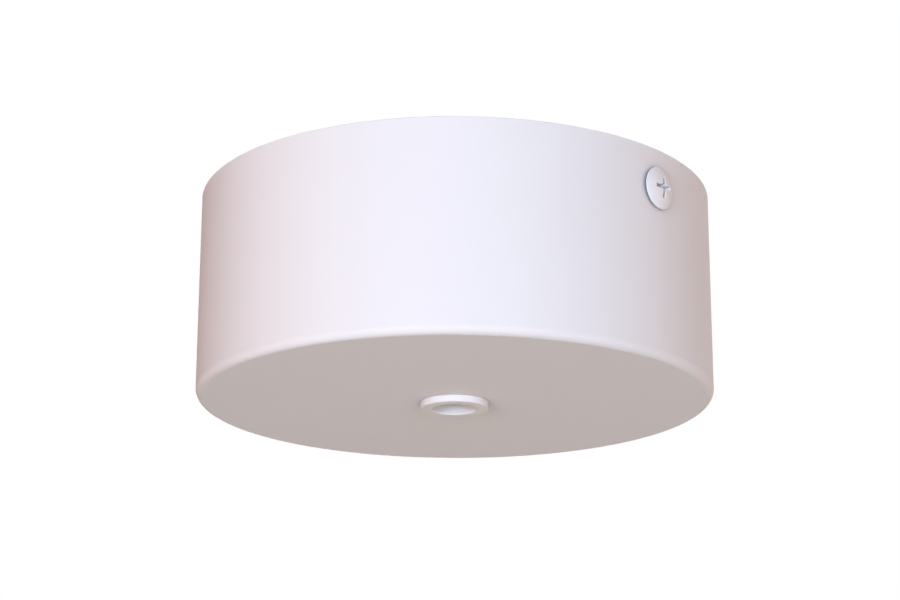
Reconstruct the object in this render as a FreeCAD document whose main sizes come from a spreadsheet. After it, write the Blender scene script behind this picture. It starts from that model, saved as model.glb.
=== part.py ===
import FreeCAD, Part
import os

import Sketcher

# Ceiling rose for a pendant lamp: a drawn steel cup that hangs by two side screws from a folded strap.
# The ceiling is the plane z = 0, with +Z up into it. The strap runs along X, and all pieces hang below.

Vector = FreeCAD.Vector
doc = FreeCAD.newDocument("CeilingRose")

# Driving dimensions in millimetres. A hole, bore, shank, head, barrel or boss is given by its radius.
driving = {
    # Cover, a deep drawn cup with its mouth up
    "coverRadius": 50,
    "coverHeight": 40,
    "coverWall": 1,
    "punchRadius": 0.5,  # inside corner left by the drawing punch
    "rimBreak": 0.1,
    "sideHoleGap": 0.25,
    "bushHoleGap": 0.05,

    # Cable bush, a nylon ring that snaps into the middle of the cover
    "bushBore": 4.3,
    "bushWall": 1.2,
    "flangeOverlap": 1.1,
    "flangeThickness": 1.3,
    "flangeRound": 0.2,
    "boreRound": 0.15,
    "fingerRoot": 0.7,  # solid ring between the flange and the finger slots
    "fingerReach": 5.6,  # from the sheet's inner face to the finger tips
    "fingerSlot": 1.2,
    "fingerCount": 4,
    "fingerTaper": 0.3,
    "fingerTip": 1.5,  # plain end beyond the barb's ramp
    "barbHeight": 0.6,
    "barbRise": 0.8,
    "barbGap": 0.1,

    # Ceiling strap, folded from sheet
    "strapThickness": 1.5,
    "strapWidth": 22,
    "bendRadius": 1.5,
    "collarWall": 1.2,  # plunged collar that carries the side screw's thread
    "collarLength": 1.4,
    "collarFillet": 0.4,
    "earSide": 2.8,  # ear beside the collar
    "earTail": 2.4,  # ear below the collar
    "earGap": 0.15,  # between the ear's corners and the cover's wall
    "earCorner": 4,
    "shoulderInset": 4.5,
    "shoulderRound": 3,
    "neckRound": 1,
    "slotHalfWidth": 2.5,
    "slotLength": 14,
    "slotMargin": 3.98,  # strap between a slot's end and the shoulder
    "wiringHole": 5.25,

    # Side screws
    "sideScrewDrop": 7.7,  # rim to screw axis
    "sideScrewLength": 8,
    "sideShank": 2,
    "sideHead": 4,
    "sideHeadHeight": 1.6,
    "sideHeadBand": 0.25,
    "sideSeat": 2.8,  # narrow seat, on which the head's edge clears the round wall
    "sideSeatHeight": 0.3,
    "crossSpan": 4.1,
    "crossWing": 0.75,
    "crossDepth": 1.7,
    "crossFootSpan": 1.6,
    "crossFootWing": 0.55,

    # What the screws share
    "threadGap": 0.02,
    "tipInset": 0.2,  # tips stop short of the ceiling
    "tipBevel": 0.4,
    "headBevel": 0.4,
    "driverSlot": 0.8,
    "driverDepth": 0.9,
    "smallShank": 1.5,
    "smallHead": 2.75,
    "smallHeadHeight": 1.8,
    "smallHoleGap": 0.1,
    "smallHeadGap": 0.15,

    # Terminal block: three poles in one moulding
    "blockGap": 1.25,  # beside the wiring hole
    "tubeBore": 1.7,
    "tubeWall": 1.1,
    "tubeLength": 14,
    "tubeGap": 0.03,
    "tubeBevel": 0.25,
    "barrelWall": 1.37,
    "barrelSpace": 1.6,
    "footHeight": 0.5,  # strap to barrel
    "pedestalWidth": 5.4,
    "webThickness": 1.6,
    "notchDepth": 5,
    "notchWidth": 2.6,
    "lipLength": 1.5,
    "lipStep": 0.5,
    "lipChamfer": 0.5,
    "clampSpacing": 8,  # between the two screws of a pole
    "clampShank": 1.5,
    "clampHead": 2.1,
    "clampHeadHeight": 1.5,
    "clampScrewLength": 6,
    "chimneyWall": 0.8,
    "chimneyGap": 0.1,
    "chimneyRim": 0.3,
    "bossRise": 0.2,

    # Cord grip: a moulded base and an arched bar
    "gripHoleGap": 2.25,  # beside the wiring hole
    "gripLength": 8,
    "gripMargin": 3,
    "gripCorner": 2,
    "gripBaseHeight": 4.3,
    "gripGap": 0.6,
    "gripBarHeight": 3.8,
    "archRise": 1.4,
    "archSide": 0.4,
    "gripEdge": 0.5,
    "flexRadius": 3,
    "channelWall": 2.9,
    "toothDepth": 0.35,
    "toothGap": 0.9,
    "toothPitch": 2,
    "toothGaps": 3,

    # Earth terminal
    "earthGap": 1,  # beside the cord grip
    "earthEdge": 1,  # inside the strap's edge
    "saddleWidth": 8,
    "saddleThickness": 1,
    "saddleLip": 0.9,
    "saddleRound": 0.6,
    "earthShank": 2,
    "earthHead": 3.9,
    "earthHeadHeight": 2.4,
    "earthHoleGap": 0.2,
    "lockRing": 1.6,
    "lockThickness": 0.8,
    "lockNotch": 0.7,
    "lockNotchDepth": 0.8,
    "lockNotches": 8,
}

# Sizes and places that follow from the driving dimensions
derived = {
    "coverInside": "dims.coverRadius - dims.coverWall",
    "bushBarrel": "dims.bushBore + dims.bushWall",
    "flangeRadius": "places.bushBarrel + dims.flangeOverlap",
    "collarRadius": "dims.sideShank + dims.collarWall",
    "earWidth": "2 * (places.collarRadius + dims.earSide)",
    "earFace": "sqrt(places.coverInside ^ 2 - (places.earWidth / 2) ^ 2) - dims.earGap",
    "earInside": "places.earFace - dims.strapThickness",
    "earEnd": "-dims.sideScrewDrop - places.collarRadius - dims.earTail",
    "shoulder": "places.earFace - dims.shoulderInset",
    "slotPlace": "places.shoulder - dims.slotMargin - dims.slotLength / 2",
    "tipHeight": "dims.strapThickness - dims.tipInset",
    "tubeRadius": "dims.tubeBore + dims.tubeWall",
    "barrelRadius": "places.tubeRadius + dims.tubeGap + dims.barrelWall",
    "polePitch": "2 * places.barrelRadius + dims.barrelSpace",
    "poleDrop": "places.barrelRadius + dims.footHeight",
    "blockLength": "dims.tubeLength + 2 * dims.lipLength",
    "blockOffset": "dims.wiringHole + dims.blockGap + places.blockLength / 2",
    "clampSeat": "dims.tubeBore + dims.clampScrewLength",
    "chimneyBore": "dims.clampHead + dims.chimneyGap",
    "chimneyRadius": "places.chimneyBore + dims.chimneyWall",
    "chimneyDrop": "places.clampSeat + dims.clampHeadHeight + dims.chimneyRim",
    "bossRadius": "dims.smallHead + dims.smallHeadGap",
    "bossHeight": "places.poleDrop + places.barrelRadius + dims.bossRise",
    "gripOffset": "dims.wiringHole + dims.gripHoleGap + dims.gripLength / 2",
    "gripScrewPlace": "dims.flexRadius + dims.channelWall + dims.smallShank + dims.smallHoleGap",
    "gripWidth": "2 * (places.gripScrewPlace + dims.gripMargin)",
    "gripAxisDrop": "dims.gripBaseHeight + dims.gripGap / 2",
    "gripSeat": "dims.gripBaseHeight + dims.gripGap + dims.gripBarHeight",
    "archFoot": "places.gripScrewPlace - dims.smallHead - dims.smallHeadGap",
    "archHalfWidth": "dims.flexRadius + dims.archSide",
    "earthAlong": "places.gripOffset + (dims.gripLength + dims.saddleWidth) / 2 + dims.earthGap",
    "earthAcross": "dims.strapWidth / 2 - dims.earthEdge - dims.saddleWidth / 2",
    "saddleHeight": "dims.saddleLip + dims.saddleThickness",
    "earthSeat": "places.saddleHeight + dims.lockThickness",
    "lockRadius": "dims.earthShank + dims.earthHoleGap + dims.lockRing",
}


def fillSheet(name, cells, prefix):
    sheet = doc.addObject("Spreadsheet::Sheet", name)
    for row, (alias, content) in enumerate(cells.items(), start=1):
        sheet.set("A%d" % row, alias)
        sheet.set("B%d" % row, prefix + str(content))
        sheet.setAlias("B%d" % row, alias)
    return sheet


dims = fillSheet("dims", driving, "")
places = fillSheet("places", derived, "=")
doc.recompute()


def number(expression):
    value = dims.evalExpression(expression)
    return float(getattr(value, "Value", value))


# Bodies, sketches and the lines in them

def newBody(label, along="0", across="0", height="0"):
    body = doc.addObject("PartDesign::Body", label)
    body.Label = label
    body.setExpression("Placement.Base.x", along)
    body.setExpression("Placement.Base.y", across)
    body.setExpression("Placement.Base.z", height)
    return body


def originFeature(body, role):
    return next(feature for feature in body.Origin.OriginFeatures if feature.Role == role)


def newSketch(body, name, plane, offset="0"):
    sketch = body.newObject("Sketcher::SketchObject", name)
    sketch.AttachmentSupport = [(originFeature(body, plane), "")]
    sketch.MapMode = "FlatFace"
    sketch.setExpression("AttachmentOffset.Base.z", offset)
    return sketch


def bind(sketch, kind, geometry, expression):
    index = sketch.addConstraint(Sketcher.Constraint(kind, *geometry, number(expression)))
    sketch.setExpression("Constraints[%d]" % index, expression)


def placePoint(sketch, line, end, x, y):
    bind(sketch, "DistanceX", (-1, 1, line, end), x)
    bind(sketch, "DistanceY", (-1, 1, line, end), y)


def circle(sketch, x, y, radius):
    centre = Vector(number(x), number(y), 0)
    line = sketch.addGeometry(Part.Circle(centre, Vector(0, 0, 1), number(radius)))
    placePoint(sketch, line, 3, x, y)
    bind(sketch, "Radius", (line,), radius)


# A closed outline runs anticlockwise. A corner is (x, y), or (x, y, radius) where an arc leads on from it.
def outline(sketch, corners):
    points = [Vector(number(corner[0]), number(corner[1]), 0) for corner in corners]
    first = sketch.GeometryCount
    count = len(corners)
    for index, corner in enumerate(corners):
        start = points[index]
        end = points[(index + 1) % count]
        if len(corner) == 2:
            sketch.addGeometry(Part.LineSegment(start, end))
            continue
        chord = end - start
        radius = number(corner[2])
        inward = Vector(-chord.y, chord.x, 0).normalize()
        centre = (start + end) / 2 + inward * (radius ** 2 - (chord.Length / 2) ** 2) ** 0.5
        full = Part.Circle(centre, Vector(0, 0, 1), radius)
        sketch.addGeometry(Part.ArcOfCircle(full, full.parameter(start), full.parameter(end)))
        bind(sketch, "Radius", (first + index,), corner[2])
    for index, corner in enumerate(corners):
        following = first + (index + 1) % count
        sketch.addConstraint(Sketcher.Constraint("Coincident", first + index, 2, following, 1))
        placePoint(sketch, first + index, 1, corner[0], corner[1])


def rectangle(sketch, left, right, bottom, top):
    outline(sketch, [(left, bottom), (right, bottom), (right, top), (left, top)])


# A slot with round ends, laid along x
def roundSlot(sketch, x, halfLength, halfWidth):
    reach = number(halfLength) - number(halfWidth)
    middle = number(x)
    width = number(halfWidth)
    first = sketch.GeometryCount
    right = Part.Circle(Vector(middle + reach, 0, 0), Vector(0, 0, 1), width)
    left = Part.Circle(Vector(middle - reach, 0, 0), Vector(0, 0, 1), width)
    quarter = FreeCAD.Units.parseQuantity("90 deg").getValueAs("rad").Value
    sketch.addGeometry(Part.ArcOfCircle(right, -quarter, quarter))
    sketch.addGeometry(Part.LineSegment(Vector(middle + reach, width, 0), Vector(middle - reach, width, 0)))
    sketch.addGeometry(Part.ArcOfCircle(left, quarter, 3 * quarter))
    sketch.addGeometry(Part.LineSegment(Vector(middle - reach, -width, 0), Vector(middle + reach, -width, 0)))
    for index in range(4):
        following = first + (index + 1) % 4
        sketch.addConstraint(Sketcher.Constraint("Tangent", first + index, 2, following, 1))
    placePoint(sketch, first, 3, "%s + %s - %s" % (x, halfLength, halfWidth), "0")
    placePoint(sketch, first + 2, 3, "%s - %s + %s" % (x, halfLength, halfWidth), "0")
    bind(sketch, "Radius", (first,), halfWidth)
    sketch.addConstraint(Sketcher.Constraint("Equal", first, first + 2))


# Features: each one is settled at once, and a cut that takes nothing away is an error

def settle(feature):
    doc.recompute()
    if {"Invalid", "Error"} & set(feature.State) or feature.Shape.isNull():
        raise RuntimeError("%s could not be made" % feature.Name)
    return feature


def grown(body, before, feature):
    if settle(feature).Shape.Volume <= before:
        raise RuntimeError("%s adds nothing" % feature.Name)
    return feature


def shrunk(before, feature):
    if settle(feature).Shape.Volume >= before:
        raise RuntimeError("%s cuts nothing" % feature.Name)
    return feature


def volumeOf(body):
    return 0 if body.Shape.isNull() else body.Shape.Volume


def pad(body, sketch, length, side="One side", turned=False):
    before = volumeOf(body)
    feature = body.newObject("PartDesign::Pad", sketch.Name + "Pad")
    feature.Profile = sketch
    feature.SideType = side
    feature.Reversed = turned
    feature.setExpression("Length", length)
    return grown(body, before, feature)


def pocket(body, sketch, length=None, side="One side", turned=False):
    before = volumeOf(body)
    feature = body.newObject("PartDesign::Pocket", sketch.Name + "Cut")
    feature.Profile = sketch
    feature.SideType = side
    feature.Reversed = turned
    if length is None:
        feature.Type = "ThroughAll"
    else:
        feature.setExpression("Length", length)
    return shrunk(before, feature)


def revolve(body, sketch, axis):
    feature = body.newObject("PartDesign::Revolution", sketch.Name + "Turned")
    feature.Profile = sketch
    feature.ReferenceAxis = (sketch, [axis])
    feature.Angle = 360
    return grown(body, 0, feature)


def linearPattern(body, name, axis, count, spacing, originals=()):
    feature = body.newObject("PartDesign::LinearPattern", name)
    feature.TransformMode = "Features" if originals else "Whole shape"
    feature.Originals = list(originals)
    feature.Direction = (originFeature(body, axis), [""])
    feature.Mode = "Spacing"
    feature.setExpression("Offset", spacing)
    feature.setExpression("Occurrences", count)
    body.Tip = feature
    return settle(feature)


def polarPattern(body, name, axis, count, originals=()):
    feature = body.newObject("PartDesign::PolarPattern", name)
    feature.TransformMode = "Features" if originals else "Whole shape"
    feature.Originals = list(originals)
    feature.Axis = (originFeature(body, axis), [""])
    feature.Angle = 360
    feature.setExpression("Occurrences", count)
    body.Tip = feature
    return settle(feature)


def mirror(body, name, plane, originals):
    feature = body.newObject("PartDesign::Mirrored", name)
    feature.Originals = originals
    feature.MirrorPlane = (originFeature(body, plane), [""])
    body.Tip = feature
    return settle(feature)


def dressEdges(body, kind, name, size, chosen):
    base = body.Tip
    edges = ["Edge%d" % index for index, edge in enumerate(base.Shape.Edges, start=1) if chosen(edge)]
    if not edges:
        raise RuntimeError("%s finds no edge" % name)
    feature = body.newObject(kind, name)
    feature.Base = (base, edges)
    feature.setExpression("Radius" if kind == "PartDesign::Fillet" else "Size", size)
    return settle(feature)


def fillet(body, name, radius, chosen):
    return dressEdges(body, "PartDesign::Fillet", name, radius, chosen)


def chamfer(body, name, size, chosen):
    return dressEdges(body, "PartDesign::Chamfer", name, size, chosen)


# Tests that pick edges by where they lie

def near(first, second):
    return abs(first - second) < 1e-4


def isRing(edge, radius, axis, height):
    if not isinstance(edge.Curve, Part.Circle) or not near(edge.Curve.Radius, number(radius)):
        return False
    return near(getattr(edge.Curve.Center, axis), number(height))


def isStraight(edge, axis):
    if not isinstance(edge.Curve, Part.Line):
        return False
    return near(abs(getattr(edge.Curve.Direction, axis)), 1)


def liesAt(edge, **where):
    middle = edge.CenterOfMass
    return all(near(abs(getattr(middle, axis)), abs(number(value))) for axis, value in where.items())


# Cover: a cup with its mouth up, one hole for the bush and two for the side screws
def makeCover():
    body = newBody("cover")
    sketch = newSketch(body, "coverOutside", "XY_Plane")
    circle(sketch, "0", "0", "dims.coverRadius")
    pad(body, sketch, "dims.coverHeight", turned=True)
    fillet(body, "coverEdge", "dims.punchRadius + dims.coverWall",
           lambda edge: isRing(edge, "dims.coverRadius", "z", "-dims.coverHeight"))

    sketch = newSketch(body, "coverInside", "XY_Plane")
    circle(sketch, "0", "0", "places.coverInside")
    pocket(body, sketch, "dims.coverHeight - dims.coverWall")
    fillet(body, "coverCorner", "dims.punchRadius",
           lambda edge: isRing(edge, "places.coverInside", "z", "dims.coverWall - dims.coverHeight"))
    chamfer(body, "coverRim", "dims.rimBreak", lambda edge: isRing(edge, "dims.coverRadius", "z", "0")
            or isRing(edge, "places.coverInside", "z", "0"))

    sketch = newSketch(body, "bushHole", "XY_Plane")
    circle(sketch, "0", "0", "places.bushBarrel + dims.bushHoleGap")
    pocket(body, sketch)

    sketch = newSketch(body, "sideHoles", "YZ_Plane")
    circle(sketch, "0", "-dims.sideScrewDrop", "dims.sideShank + dims.sideHoleGap")
    pocket(body, sketch, side="Symmetric")
    return body


# Cable bush: a turned ring whose barrel is slit into four barbed fingers that snap past the sheet
def makeCableBush():
    body = newBody("cable_bush", height="-dims.coverHeight")
    catch = "dims.coverWall + dims.barbGap"
    end = "dims.coverWall + dims.fingerReach"
    sketch = newSketch(body, "bushProfile", "XZ_Plane")
    outline(sketch, [
        ("dims.bushBore", "-dims.flangeThickness"),
        ("places.flangeRadius", "-dims.flangeThickness"),
        ("places.flangeRadius", "0"),
        ("places.bushBarrel", "0"),
        ("places.bushBarrel", catch),
        ("places.bushBarrel + dims.barbHeight", catch + " + dims.barbRise"),
        ("places.bushBarrel - dims.fingerTaper", end + " - dims.fingerTip"),
        ("places.bushBarrel - dims.fingerTaper", end),
        ("dims.bushBore", end),
    ])
    revolve(body, sketch, "V_Axis")
    fillet(body, "flangeEdge", "dims.flangeRound",
           lambda edge: isRing(edge, "places.flangeRadius", "z", "-dims.flangeThickness"))
    fillet(body, "boreEdge", "dims.boreRound",
           lambda edge: isRing(edge, "dims.bushBore", "z", "-dims.flangeThickness"))

    sketch = newSketch(body, "fingerSlot", "XY_Plane", "dims.fingerRoot")
    rectangle(sketch, "0", "places.flangeRadius", "-dims.fingerSlot / 2", "dims.fingerSlot / 2")
    slot = pocket(body, sketch, turned=True)
    polarPattern(body, "fingerSlots", "Z_Axis", "dims.fingerCount", [slot])
    return body


# Ceiling strap: a sheet strip with an ear folded down at each end, inside the cover's wall
def makeCeilingStrap():
    body = newBody("ceiling_strap")
    face = "places.earFace"
    inside = "places.earInside"
    under = "-dims.strapThickness"
    sketch = newSketch(body, "strapProfile", "XZ_Plane")
    outline(sketch, [
        (face, "0"),
        ("-" + face, "0"),
        ("-" + face, "places.earEnd"),
        ("-" + inside, "places.earEnd"),
        ("-" + inside, under),
        (inside, under),
        (inside, "places.earEnd"),
        (face, "places.earEnd"),
    ])
    pad(body, sketch, "dims.strapWidth", side="Symmetric")
    fillet(body, "innerBends", "dims.bendRadius",
           lambda edge: isStraight(edge, "y") and liesAt(edge, x=inside, z=under))
    fillet(body, "outerBends", "dims.bendRadius + dims.strapThickness",
           lambda edge: isStraight(edge, "y") and liesAt(edge, x=face, z="0"))

    # The ends are narrowed to the width of the ears, with round shoulders
    sketch = newSketch(body, "earNarrowing", "XY_Plane")
    for along in ("", "-"):
        for across in ("", "-"):
            start, far = along + "places.shoulder", along + "dims.coverRadius"
            low, high = across + "places.earWidth / 2", across + "dims.strapWidth"
            corners = [(start, low), (far, low), (far, high), (start, high)]
            outline(sketch, corners if along == across else corners[::-1])
    pocket(body, sketch)
    fillet(body, "shoulders", "dims.shoulderRound",
           lambda edge: isStraight(edge, "z") and liesAt(edge, x="places.shoulder", y="dims.strapWidth / 2"))
    fillet(body, "necks", "dims.neckRound",
           lambda edge: isStraight(edge, "z") and liesAt(edge, x="places.shoulder", y="places.earWidth / 2"))
    fillet(body, "earCorners", "dims.earCorner",
           lambda edge: isStraight(edge, "x") and liesAt(edge, y="places.earWidth / 2", z="places.earEnd"))

    # A collar is plunged inwards in each ear, and takes the side screw's thread
    sketch = newSketch(body, "collar", "YZ_Plane", inside)
    circle(sketch, "0", "-dims.sideScrewDrop", "places.collarRadius")
    collar = pad(body, sketch, "dims.collarLength", turned=True)
    mirror(body, "collars", "YZ_Plane", [collar])
    fillet(body, "collarRoots", "dims.collarFillet",
           lambda edge: isRing(edge, "places.collarRadius", "z", "-dims.sideScrewDrop")
           and liesAt(edge, x=inside))
    sketch = newSketch(body, "sideThreads", "YZ_Plane")
    circle(sketch, "0", "-dims.sideScrewDrop", "dims.sideShank + dims.threadGap")
    pocket(body, sketch, side="Symmetric")

    # Slots for the ceiling screws, the hole for the house wiring and the threads for what the strap carries
    sketch = newSketch(body, "strapHoles", "XY_Plane")
    for along in ("", "-"):
        roundSlot(sketch, along + "places.slotPlace", "dims.slotLength / 2", "dims.slotHalfWidth")
    circle(sketch, "0", "0", "dims.wiringHole")
    smallThread = "dims.smallShank + dims.threadGap"
    for across in ("", "-"):
        circle(sketch, "-places.blockOffset", across + "places.polePitch / 2", smallThread)
        circle(sketch, "places.gripOffset", across + "places.gripScrewPlace", smallThread)
    circle(sketch, "places.earthAlong", "places.earthAcross", "dims.earthShank + dims.threadGap")
    pocket(body, sketch)
    return body


# Side screws: low domed heads with a cross recess, one at each end of the strap
def makeSideScrews():
    body = newBody("side_screws", height="-dims.sideScrewDrop")
    seat = "dims.coverRadius"
    tip = seat + " - dims.sideScrewLength"
    under = seat + " + dims.sideSeatHeight"
    band = under + " + dims.sideHeadBand"
    top = seat + " + dims.sideHeadHeight"
    rise = "(dims.sideHeadHeight - dims.sideSeatHeight - dims.sideHeadBand)"
    dome = "(dims.sideHead ^ 2 + %s ^ 2) / (2 * %s)" % (rise, rise)
    sketch = newSketch(body, "sideScrewProfile", "XZ_Plane")
    outline(sketch, [
        (tip, "0"),
        (top, "0", dome),
        (band, "dims.sideHead"),
        (under, "dims.sideHead"),
        (under, "dims.sideSeat"),
        (seat, "dims.sideSeat"),
        (seat, "dims.sideShank"),
        (tip + " + dims.tipBevel", "dims.sideShank"),
        (tip, "dims.sideShank - dims.tipBevel"),
    ])
    revolve(body, sketch, "H_Axis")

    # The cross tapers to a small foot at the bottom of the recess
    mouth = newSketch(body, "crossMouth", "YZ_Plane", top)
    cross(mouth, "dims.crossSpan / 2", "dims.crossWing / 2")
    foot = newSketch(body, "crossFoot", "YZ_Plane", top + " - dims.crossDepth")
    cross(foot, "dims.crossFootSpan / 2", "dims.crossFootWing / 2")
    before = body.Shape.Volume
    recess = body.newObject("PartDesign::SubtractiveLoft", "crossRecess")
    recess.Profile = mouth
    recess.Sections = [foot]
    recess.Ruled = True
    shrunk(before, recess)
    polarPattern(body, "sideScrewPair", "Z_Axis", "2")
    return body


def cross(sketch, reach, half):
    out, back = "-" + reach, "-" + half
    outline(sketch, [
        (half, half), (half, reach), (back, reach), (back, half), (out, half), (out, back),
        (back, back), (back, out), (half, out), (half, back), (reach, back), (reach, half),
    ])


# A slotted screw that points up: its head hangs below the seat
def makeScrew(body, name, shank, head, height, seat, tip):
    lowest = "-%s - %s" % (seat, height)
    sketch = newSketch(body, name + "Profile", "XZ_Plane")
    outline(sketch, [
        ("0", lowest),
        (head, lowest),
        (head, "-" + seat),
        (shank, "-" + seat),
        (shank, tip + " - dims.tipBevel"),
        (shank + " - dims.tipBevel", tip),
        ("0", tip),
    ])
    revolve(body, sketch, "V_Axis")
    chamfer(body, name + "HeadEdge", "dims.headBevel", lambda edge: isRing(edge, head, "z", lowest))
    sketch = newSketch(body, name + "Slot", "XY_Plane", lowest)
    rectangle(sketch, "-" + head, head, "-dims.driverSlot / 2", "dims.driverSlot / 2")
    pocket(body, sketch, "dims.driverDepth", turned=True)


# Terminal housing: one moulding of three barrels, each with two screw chimneys, and two fixing bosses
def makeTerminalHousing():
    body = newBody("terminal_housing", "-places.blockOffset", "0", "-dims.strapThickness")
    end = "places.blockLength / 2"
    side = "(places.polePitch + dims.pedestalWidth / 2)"
    axis = "-places.poleDrop"
    sketch = newSketch(body, "web", "XY_Plane")
    rectangle(sketch, "-" + end, end, "-" + side, side)
    pad(body, sketch, "dims.webThickness", turned=True)

    # First pole, at the near end of the row
    sketch = newSketch(body, "pedestal", "YZ_Plane")
    rectangle(sketch, "-" + side, "dims.pedestalWidth / 2 - places.polePitch", axis, "0")
    pedestal = pad(body, sketch, "places.blockLength", side="Symmetric")
    sketch = newSketch(body, "barrel", "YZ_Plane")
    circle(sketch, "-places.polePitch", axis, "places.barrelRadius")
    barrel = pad(body, sketch, "places.blockLength", side="Symmetric")
    sketch = newSketch(body, "chimneys", "XY_Plane", axis)
    for along in ("", "-"):
        circle(sketch, along + "dims.clampSpacing / 2", "-places.polePitch", "places.chimneyRadius")
    chimneys = pad(body, sketch, "places.chimneyDrop", turned=True)
    linearPattern(body, "poles", "Y_Axis", "3", "places.polePitch", [pedestal, barrel, chimneys])

    # Fixing bosses stand between the barrels, lower than them, so that a screw head clears the moulding
    sketch = newSketch(body, "bosses", "XY_Plane")
    for across in ("", "-"):
        circle(sketch, "0", across + "places.polePitch / 2", "places.bossRadius")
    pad(body, sketch, "places.bossHeight", turned=True)

    # Necks between the poles, where a strip of this kind is cut to length
    sketch = newSketch(body, "notches", "XY_Plane")
    for along in ("", "-"):
        for across in ("", "-"):
            outer, inner = along + end, "%s(%s - dims.notchDepth)" % (along, end)
            low = across + "(places.polePitch - dims.notchWidth) / 2"
            high = across + "(places.polePitch + dims.notchWidth) / 2"
            corners = [(inner, low), (outer, low), (outer, high), (inner, high)]
            outline(sketch, corners if along == across else corners[::-1])
    pocket(body, sketch)

    # Each tube slides in from the end at -X against a lip, and the chimneys open into its bore
    sketch = newSketch(body, "tubeBore", "YZ_Plane", "-" + end)
    circle(sketch, "-places.polePitch", axis, "places.tubeRadius + dims.tubeGap")
    tubeBore = pocket(body, sketch, "(places.blockLength + dims.tubeLength) / 2", turned=True)
    sketch = newSketch(body, "lip", "YZ_Plane")
    circle(sketch, "-places.polePitch", axis, "dims.tubeBore + dims.lipStep")
    lip = pocket(body, sketch, side="Symmetric")
    sketch = newSketch(body, "chimneyBores", "XY_Plane", axis)
    for along in ("", "-"):
        circle(sketch, along + "dims.clampSpacing / 2", "-places.polePitch", "places.chimneyBore")
    chimneyBores = pocket(body, sketch)
    linearPattern(body, "poleBores", "Y_Axis", "3", "places.polePitch", [tubeBore, lip, chimneyBores])

    sketch = newSketch(body, "bossHoles", "XY_Plane")
    for across in ("", "-"):
        circle(sketch, "0", across + "places.polePitch / 2", "dims.smallShank + dims.smallHoleGap")
    pocket(body, sketch)
    chamfer(body, "wireEntries", "dims.lipChamfer",
            lambda edge: isRing(edge, "dims.tubeBore + dims.lipStep", "x", end))
    return body


# Terminal tube: brass, with two threaded holes in its lower wall
def makeTerminalTube(name, across):
    body = newBody("terminal_tube_" + name, "-places.blockOffset", across,
                   "-dims.strapThickness - places.poleDrop")
    sketch = newSketch(body, name + "Section", "YZ_Plane")
    circle(sketch, "0", "0", "places.tubeRadius")
    circle(sketch, "0", "0", "dims.tubeBore")
    pad(body, sketch, "dims.tubeLength", side="Symmetric")
    chamfer(body, name + "Ends", "dims.tubeBevel",
            lambda edge: isRing(edge, "places.tubeRadius", "z", "0"))
    sketch = newSketch(body, name + "Threads", "XY_Plane")
    for along in ("", "-"):
        circle(sketch, along + "dims.clampSpacing / 2", "0", "dims.clampShank + dims.threadGap")
    pocket(body, sketch)
    return body


# Terminal screws: two to a pole, drawn back until their tips are flush with the bore
def makeTerminalScrews():
    body = newBody("terminal_screws", "-places.blockOffset - dims.clampSpacing / 2", "-places.polePitch",
                   "-dims.strapThickness - places.poleDrop")
    makeScrew(body, "clamp", "dims.clampShank", "dims.clampHead", "dims.clampHeadHeight",
              "places.clampSeat", "-dims.tubeBore")
    linearPattern(body, "clampPairs", "X_Axis", "2", "dims.clampSpacing")
    linearPattern(body, "clampRows", "Y_Axis", "3", "places.polePitch")
    return body


def makeHousingScrews():
    body = newBody("housing_screws", "-places.blockOffset", "-places.polePitch / 2", "-dims.strapThickness")
    makeScrew(body, "housing", "dims.smallShank", "dims.smallHead", "dims.smallHeadHeight",
              "places.bossHeight", "places.tipHeight")
    linearPattern(body, "housingPair", "Y_Axis", "2", "places.polePitch")
    return body


# Cord grip: both halves have a half round channel, with gaps between teeth that bite the flex
def cutFlexChannel(body, name, axis):
    sketch = newSketch(body, name + "Channel", "YZ_Plane")
    circle(sketch, "0", axis, "dims.flexRadius")
    pocket(body, sketch, side="Symmetric")
    first = "-dims.toothPitch * (dims.toothGaps - 1) / 2 - dims.toothGap / 2"
    sketch = newSketch(body, name + "Teeth", "YZ_Plane", first)
    circle(sketch, "0", axis, "dims.flexRadius + dims.toothDepth")
    gap = pocket(body, sketch, "dims.toothGap", turned=True)
    linearPattern(body, name + "TeethRow", "X_Axis", "dims.toothGaps", "dims.toothPitch", [gap])


def cutGripHoles(body, name):
    sketch = newSketch(body, name + "Holes", "XY_Plane")
    for across in ("", "-"):
        circle(sketch, "0", across + "places.gripScrewPlace", "dims.smallShank + dims.smallHoleGap")
    pocket(body, sketch, side="Symmetric")


def makeCordGripBase():
    body = newBody("cord_grip_base", "places.gripOffset", "0", "-dims.strapThickness")
    sketch = newSketch(body, "gripBase", "XY_Plane")
    end, side = "dims.gripLength / 2", "places.gripWidth / 2"
    rectangle(sketch, "-" + end, end, "-" + side, side)
    pad(body, sketch, "dims.gripBaseHeight", turned=True)
    fillet(body, "gripBaseCorners", "dims.gripCorner", lambda edge: isStraight(edge, "z"))
    cutFlexChannel(body, "base", "-places.gripAxisDrop")
    cutGripHoles(body, "base")
    return body


def makeCordGripBar():
    body = newBody("cord_grip_bar", "places.gripOffset", "0",
                   "-dims.strapThickness - dims.gripBaseHeight - dims.gripGap")
    side, seat = "places.gripWidth / 2", "-dims.gripBarHeight"
    crown = seat + " - dims.archRise"
    sketch = newSketch(body, "gripBar", "YZ_Plane")
    outline(sketch, [
        (side, "0"),
        ("-" + side, "0"),
        ("-" + side, seat),
        ("-places.archFoot", seat),
        ("-places.archHalfWidth", crown),
        ("places.archHalfWidth", crown),
        ("places.archFoot", seat),
        (side, seat),
    ])
    pad(body, sketch, "dims.gripLength", side="Symmetric")
    fillet(body, "gripBarCorners", "dims.gripCorner", lambda edge: isStraight(edge, "z"))
    fillet(body, "gripBarCrown", "dims.gripEdge",
           lambda edge: isStraight(edge, "x") and liesAt(edge, y="places.archHalfWidth", z=crown))
    cutFlexChannel(body, "bar", "dims.gripGap / 2")
    cutGripHoles(body, "bar")
    return body


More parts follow.
